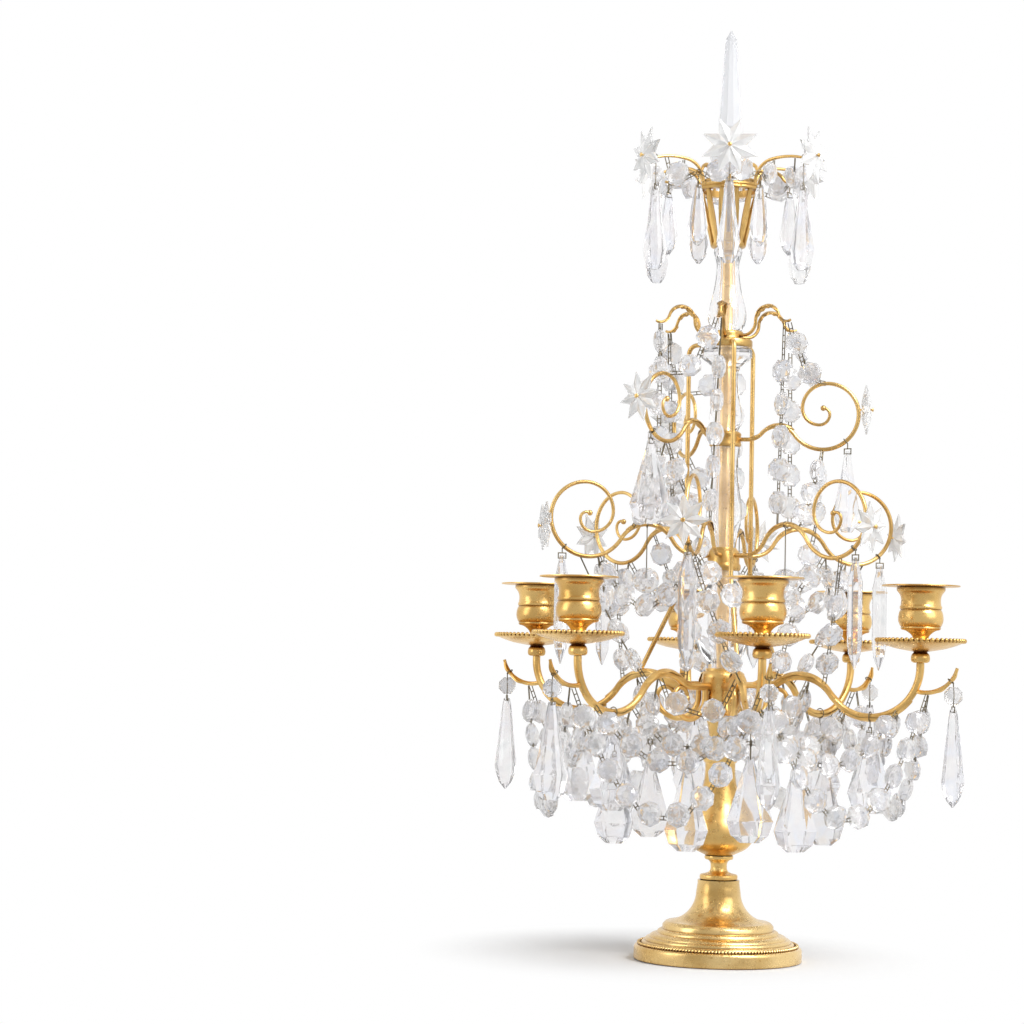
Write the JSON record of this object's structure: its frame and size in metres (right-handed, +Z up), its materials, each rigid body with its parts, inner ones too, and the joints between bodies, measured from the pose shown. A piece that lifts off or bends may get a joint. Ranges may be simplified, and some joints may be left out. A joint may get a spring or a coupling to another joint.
{
  "type": "girandole candle holder",
  "caption": "Gilt brass girandole candle holder with scrolled arms, candle cups, a cut-glass stem, and swinging glass drops, stars and bead swags under a glass spire.",
  "frame": {"origin": "middle of the underside of the round foot", "axes": "+Z up along the stem, -Y towards the front, +X to the right seen from the front"},
  "size_m": [0.3624, 0.375, 0.72],
  "materials": {
    "gilt_foot": "satin gilding worn on the edges, brown in the steps",
    "gilt_turned": "burnished gilding",
    "gilt_arms": "satin gilding, dark in the curls",
    "gilt_cups": "burnished gilding with turning marks",
    "gilt_nozzles": "burnished gilding",
    "gilt_tube": "satin gilding behind glass",
    "gilt_collars": "satin gilding",
    "gilt_wire": "polished gilt wire",
    "gilt_leaf": "chased gilding, brown in the veins",
    "rod_steel": "plain steel",
    "stem_glass": "clear cut glass",
    "star_glass": "clear moulded glass with ground ridges",
    "spire_glass": "clear cut glass",
    "drop_glass": "clear cut glass, faceted",
    "bead_glass": "clear cut glass, octagonal facets",
    "link_wire": "dull brown brass wire"
  },
  "bodies": {
    "stand": {"foot": "gilt_foot", "rod_nuts": "gilt_turned", "tie_rod": "rod_steel", "neck_spool": "gilt_turned", "urn": "gilt_turned", "arm_hub": "gilt_turned", "candle_arms": "gilt_arms", "drip_pans": "gilt_cups", "candle_cups": "gilt_cups", "stem_tube": "gilt_tube", "lower_glass": "stem_glass", "middle_glass": "stem_glass", "upper_glass": "stem_glass", "top_glass": "stem_glass", "lower_collar": "gilt_collars", "middle_collar": "gilt_collars", "upper_collar": "gilt_collars", "cage_rods": "gilt_wire", "lower_scrolls": "gilt_wire", "middle_scrolls": "gilt_wire", "leaf_arms": "gilt_leaf", "crown_basket": "gilt_collars", "crown_arms": "gilt_wire", "crown_leaves": "gilt_leaf", "stars": "star_glass", "glass_ball": "spire_glass", "spire": "spire_glass", "spear_drops": "drop_glass", "pear_drops": "drop_glass", "swag_beads": "bead_glass", "string_beads": "bead_glass", "bead_links": "link_wire", "swag_pendeloques": "drop_glass"},
    "nozzle_1": {"nozzle_1": "gilt_nozzles"},
    "nozzle_2": {"nozzle_2": "gilt_nozzles"},
    "nozzle_3": {"nozzle_3": "gilt_nozzles"},
    "nozzle_4": {"nozzle_4": "gilt_nozzles"},
    "nozzle_5": {"nozzle_5": "gilt_nozzles"},
    "nozzle_6": {"nozzle_6": "gilt_nozzles"},
    "scroll_drop_1": {"scroll_drop_1": "drop_glass"},
    "scroll_drop_2": {"scroll_drop_2": "drop_glass"},
    "scroll_drop_3": {"scroll_drop_3": "drop_glass"},
    "lance_1": {"lance_1": "drop_glass"},
    "lance_2": {"lance_2": "drop_glass"},
    "lance_3": {"lance_3": "drop_glass"},
    "lance_4": {"lance_4": "drop_glass"},
    "lance_5": {"lance_5": "drop_glass"},
    "lance_6": {"lance_6": "drop_glass"},
    "crown_drop_1": {"crown_drop_1": "drop_glass"},
    "crown_drop_2": {"crown_drop_2": "drop_glass"},
    "crown_drop_3": {"crown_drop_3": "drop_glass"},
    "crown_drop_4": {"crown_drop_4": "drop_glass"},
    "crown_drop_5": {"crown_drop_5": "drop_glass"},
    "crown_drop_6": {"crown_drop_6": "drop_glass"},
    "arm_drop_1": {"arm_drop_1": "drop_glass"},
    "arm_drop_2": {"arm_drop_2": "drop_glass"},
    "arm_drop_3": {"arm_drop_3": "drop_glass"},
    "arm_drop_4": {"arm_drop_4": "drop_glass"},
    "arm_drop_5": {"arm_drop_5": "drop_glass"},
    "arm_drop_6": {"arm_drop_6": "drop_glass"}
  },
  "joints": [
    {"name": "nozzle_1_lift", "type": "slide", "parent": "stand", "child": "nozzle_1", "axis": [0, 0, 1], "range_m": [0, 0.045]},
    {"name": "nozzle_2_lift", "type": "slide", "parent": "stand", "child": "nozzle_2", "axis": [0, 0, 1], "range_m": [0, 0.045]},
    {"name": "nozzle_3_lift", "type": "slide", "parent": "stand", "child": "nozzle_3", "axis": [0, 0, 1], "range_m": [0, 0.045]},
    {"name": "nozzle_4_lift", "type": "slide", "parent": "stand", "child": "nozzle_4", "axis": [0, 0, 1], "range_m": [0, 0.045]},
    {"name": "nozzle_5_lift", "type": "slide", "parent": "stand", "child": "nozzle_5", "axis": [0, 0, 1], "range_m": [0, 0.045]},
    {"name": "nozzle_6_lift", "type": "slide", "parent": "stand", "child": "nozzle_6", "axis": [0, 0, 1], "range_m": [0, 0.045]},
    {"name": "scroll_drop_1_swing", "type": "hinge", "parent": "stand", "child": "scroll_drop_1", "pos_m": [0.09355, -0.00983, 0.388], "axis": [0.8151, -0.5793, 0], "range_deg": [-15, 15]},
    {"name": "scroll_drop_2_swing", "type": "hinge", "parent": "stand", "child": "scroll_drop_2", "pos_m": [-0.03826, 0.08593, 0.388], "axis": [-0.2689, 0.9632, 0], "range_deg": [-15, 15]},
    {"name": "scroll_drop_3_swing", "type": "hinge", "parent": "stand", "child": "scroll_drop_3", "pos_m": [-0.05529, -0.0761, 0.388], "axis": [-0.3971, -0.9178, 0], "range_deg": [-15, 15]},
    {"name": "lance_1_swing", "type": "hinge", "parent": "stand", "child": "lance_1", "pos_m": [0.03301, -0.17811, 0.193], "axis": [0.0366, -0.9993, 0], "range_deg": [-25, 25]},
    {"name": "lance_2_swing", "type": "hinge", "parent": "stand", "child": "lance_2", "pos_m": [0.17075, -0.06047, 0.193], "axis": [0.2436, -0.9699, 0], "range_deg": [-25, 25]},
    {"name": "lance_3_swing", "type": "hinge", "parent": "stand", "child": "lance_3", "pos_m": [0.12121, 0.13462, 0.193], "axis": [0.1461, 0.9893, 0], "range_deg": [-25, 25]},
    {"name": "lance_4_swing", "type": "hinge", "parent": "stand", "child": "lance_4", "pos_m": [-0.03301, 0.17811, 0.193], "axis": [-0.0366, 0.9993, 0], "range_deg": [-25, 25]},
    {"name": "lance_5_swing", "type": "hinge", "parent": "stand", "child": "lance_5", "pos_m": [-0.17075, 0.06047, 0.193], "axis": [-0.2436, 0.9699, 0], "range_deg": [-25, 25]},
    {"name": "lance_6_swing", "type": "hinge", "parent": "stand", "child": "lance_6", "pos_m": [-0.12121, -0.13462, 0.193], "axis": [-0.1461, -0.9893, 0], "range_deg": [-25, 25]},
    {"name": "crown_drop_1_swing", "type": "hinge", "parent": "stand", "child": "crown_drop_1", "pos_m": [0, -0.06507, 0.588], "axis": [0, -1, 0], "range_deg": [-15, 15]},
    {"name": "crown_drop_2_swing", "type": "hinge", "parent": "stand", "child": "crown_drop_2", "pos_m": [0.05635, -0.03254, 0.588], "axis": [0.2079, -0.9781, 0], "range_deg": [-15, 15]},
    {"name": "crown_drop_3_swing", "type": "hinge", "parent": "stand", "child": "crown_drop_3", "pos_m": [0.05635, 0.03254, 0.588], "axis": [0.2079, 0.9781, 0], "range_deg": [-15, 15]},
    {"name": "crown_drop_4_swing", "type": "hinge", "parent": "stand", "child": "crown_drop_4", "pos_m": [0, 0.06507, 0.588], "axis": [0, 1, 0], "range_deg": [-15, 15]},
    {"name": "crown_drop_5_swing", "type": "hinge", "parent": "stand", "child": "crown_drop_5", "pos_m": [-0.05635, 0.03254, 0.588], "axis": [-0.2079, 0.9781, 0], "range_deg": [-15, 15]},
    {"name": "crown_drop_6_swing", "type": "hinge", "parent": "stand", "child": "crown_drop_6", "pos_m": [-0.05635, -0.03254, 0.588], "axis": [-0.2079, -0.9781, 0], "range_deg": [-15, 15]},
    {"name": "arm_drop_1_swing", "type": "hinge", "parent": "stand", "child": "arm_drop_1", "pos_m": [0.0215, -0.11602, 0.157], "axis": [0.0458, -0.999, 0], "range_deg": [-20, 20]},
    {"name": "arm_drop_2_swing", "type": "hinge", "parent": "stand", "child": "arm_drop_2", "pos_m": [0.11123, -0.03939, 0.176], "axis": [0.3028, -0.9531, 0], "range_deg": [-20, 20]},
    {"name": "arm_drop_3_swing", "type": "hinge", "parent": "stand", "child": "arm_drop_3", "pos_m": [0.07896, 0.08769, 0.176], "axis": [0.1822, 0.9833, 0], "range_deg": [-20, 20]},
    {"name": "arm_drop_4_swing", "type": "hinge", "parent": "stand", "child": "arm_drop_4", "pos_m": [-0.0215, 0.11602, 0.176], "axis": [-0.0458, 0.999, 0], "range_deg": [-20, 20]},
    {"name": "arm_drop_5_swing", "type": "hinge", "parent": "stand", "child": "arm_drop_5", "pos_m": [-0.11123, 0.03939, 0.176], "axis": [-0.3028, 0.9531, 0], "range_deg": [-20, 20]},
    {"name": "arm_drop_6_swing", "type": "hinge", "parent": "stand", "child": "arm_drop_6", "pos_m": [-0.07896, -0.08769, 0.176], "axis": [-0.1822, -0.9833, 0], "range_deg": [-20, 20]}
  ]
}
